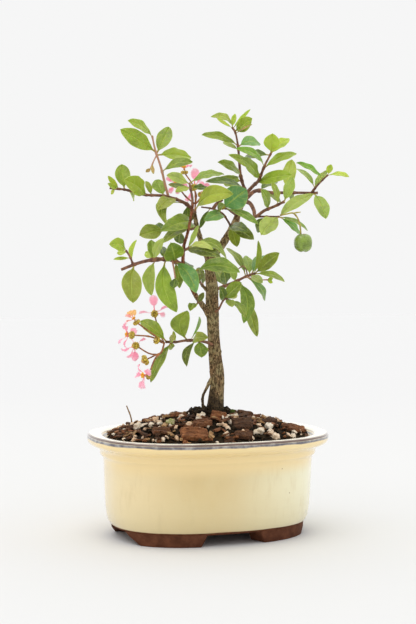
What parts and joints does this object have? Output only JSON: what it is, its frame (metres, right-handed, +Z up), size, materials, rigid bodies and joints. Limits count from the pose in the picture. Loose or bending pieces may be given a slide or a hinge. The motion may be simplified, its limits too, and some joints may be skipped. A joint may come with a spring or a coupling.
{
  "type": "barbados cherry bonsai",
  "caption": "Small flowering and fruiting cherry tree with a bare trunk and leafy branches, planted in mounded soil with bark flakes in an oval glazed pot on feet.",
  "frame": {"origin": "middle of the whole part's box, on the surface that the pot's feet stand on", "axes": "+Z up, the pot's long axis along X, the front at -Y with the tree turned 22 degrees to the left of it"},
  "size_m": [0.172, 0.1274, 0.2835],
  "materials": {
    "pot_glaze": "glossy cream glaze, blue-grey at the rim's edge, bare brown clay on the feet",
    "screen_mesh": "matt black plastic mesh",
    "potting_soil": "dark crumbly soil with small bark",
    "bark_flake": "rough reddish-brown pine bark",
    "pumice": "matt pitted pumice",
    "mossy_stone": "stone with a film of green moss",
    "moss": "soft green moss",
    "dry_straw": "dry stalk",
    "trunk_bark": "grey-brown bark with pale pores",
    "leafy_shoot": "satin green leaves on brown twigs",
    "flower_stem": "thin stems with olive cups",
    "petal": "soft pink petals",
    "green_cherry": "smooth skin of an unripe fruit"
  },
  "bodies": {
    "root": {"trunk": "trunk_bark", "shoot_upper_left": "leafy_shoot", "shoot_spur": "leafy_shoot", "shoot_top": "leafy_shoot", "shoot_upper_right": "leafy_shoot", "shoot_right": "leafy_shoot", "shoot_hook": "leafy_shoot", "shoot_centre": "leafy_shoot", "shoot_centre_left": "leafy_shoot", "shoot_left_upper": "leafy_shoot", "shoot_left_top": "leafy_shoot", "shoot_left_mid": "leafy_shoot", "shoot_centre_low": "leafy_shoot", "shoot_centre_under": "leafy_shoot", "shoot_low_right": "leafy_shoot", "shoot_low_twig": "leafy_shoot", "shoot_low_left": "leafy_shoot", "shoot_branch_low": "leafy_shoot", "shoot_stub_leaf": "leafy_shoot", "umbel_lower": "flower_stem", "bloom_lower_1": "petal", "bloom_lower_2": "petal", "bloom_lower_3": "petal", "bloom_lower_4": "petal", "bloom_lower_5": "petal", "umbel_upper": "flower_stem", "bloom_upper_1": "petal", "bloom_upper_2": "petal", "bloom_upper_3": "petal", "bloom_upper_4": "petal", "cherry": "green_cherry", "straw": "dry_straw", "pot": "pot_glaze", "drain_screen_left": "screen_mesh", "drain_screen_right": "screen_mesh", "bark_chip_1": "bark_flake", "bark_chip_2": "bark_flake", "bark_chip_3": "bark_flake", "bark_chip_4": "bark_flake", "bark_chip_5": "bark_flake", "bark_chip_6": "bark_flake", "bark_chip_7": "bark_flake", "bark_chip_8": "bark_flake", "bark_chip_9": "bark_flake", "bark_chip_10": "bark_flake", "bark_chip_11": "bark_flake", "bark_chip_12": "bark_flake", "bark_chip_13": "bark_flake", "pebble_1": "pumice", "pebble_2": "pumice", "pebble_3": "pumice", "pebble_4": "mossy_stone", "pebble_5": "pumice", "pebble_6": "pumice", "pebble_7": "pumice", "pebble_8": "pumice", "pebble_9": "pumice", "pebble_10": "pumice", "moss_tuft": "moss", "soil": "potting_soil"}
  },
  "joints": []
}
